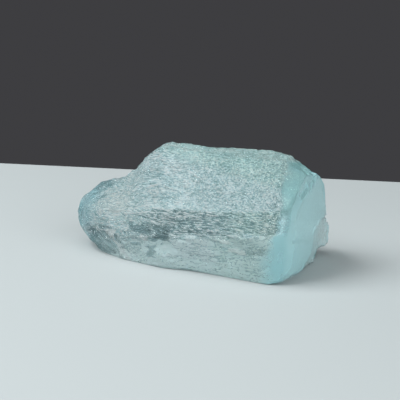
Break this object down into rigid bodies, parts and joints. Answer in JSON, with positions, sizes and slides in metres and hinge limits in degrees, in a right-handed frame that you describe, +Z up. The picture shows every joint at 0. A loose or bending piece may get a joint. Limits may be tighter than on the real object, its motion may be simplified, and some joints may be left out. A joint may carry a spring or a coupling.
{
  "type": "blue topaz crystal",
  "caption": "Rough prismatic crystal lying on a long face, with an etched and ribbed skin, a tapered broken nose and a square cleavage end.",
  "frame": {"origin": "middle of the bounding box, on the surface that the crystal rests on", "axes": "+X along the crystal from the tapered nose to the cleavage end, +Y from the front to the back, +Z up"},
  "size_m": [0.0516, 0.0276, 0.0239],
  "materials": {
    "pale_blue_topaz": "translucent pale blue crystal, finely etched on the long faces and smooth matte on the cleavage"
  },
  "bodies": {
    "root": {"topaz_crystal": "pale_blue_topaz"}
  },
  "joints": []
}
